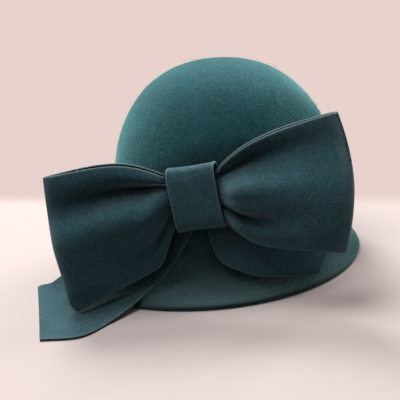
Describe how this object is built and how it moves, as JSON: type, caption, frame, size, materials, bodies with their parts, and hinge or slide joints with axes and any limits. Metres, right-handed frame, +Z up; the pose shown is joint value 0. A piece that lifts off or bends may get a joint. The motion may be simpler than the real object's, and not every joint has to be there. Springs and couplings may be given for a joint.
{
  "type": "felt hat with bow",
  "caption": "Rounded wool-felt hat with a down-sloping brim, a ribbon sweatband inside and a large folded felt bow with loose tails on the wearer's left side.",
  "frame": {"origin": "centre of the head opening's oval, on the plane that the brim rests on", "axes": "+Z up through the crown, -Y to the front of the hat, +X to the wearer's left, where the bow is"},
  "size_m": [0.3024, 0.2854, 0.1784],
  "materials": {
    "hood_felt": "wool felt with a soft brushed nap",
    "bow_felt": "matt cut wool felt",
    "ribbon": "ribbed grosgrain ribbon",
    "thread": "spun polyester thread",
    "tab_cloth": "blank woven tab",
    "brim_wire": "drawn spring wire",
    "joiner": "crimped tube"
  },
  "bodies": {
    "root": {"felt_hood": "hood_felt", "brim_wire": "brim_wire", "wire_joiner": "joiner", "hem_stitches": "thread", "sweatband": "ribbon", "sweatband_stitches": "thread", "sweatband_join_stitches": "thread", "size_tab": "tab_cloth", "front_loop": "bow_felt", "rear_loop": "bow_felt", "knot_band": "bow_felt", "knot_stitches": "thread", "gathering_thread": "thread", "front_tail": "bow_felt", "rear_tail": "bow_felt", "bow_tack_stitches": "thread"}
  },
  "joints": []
}
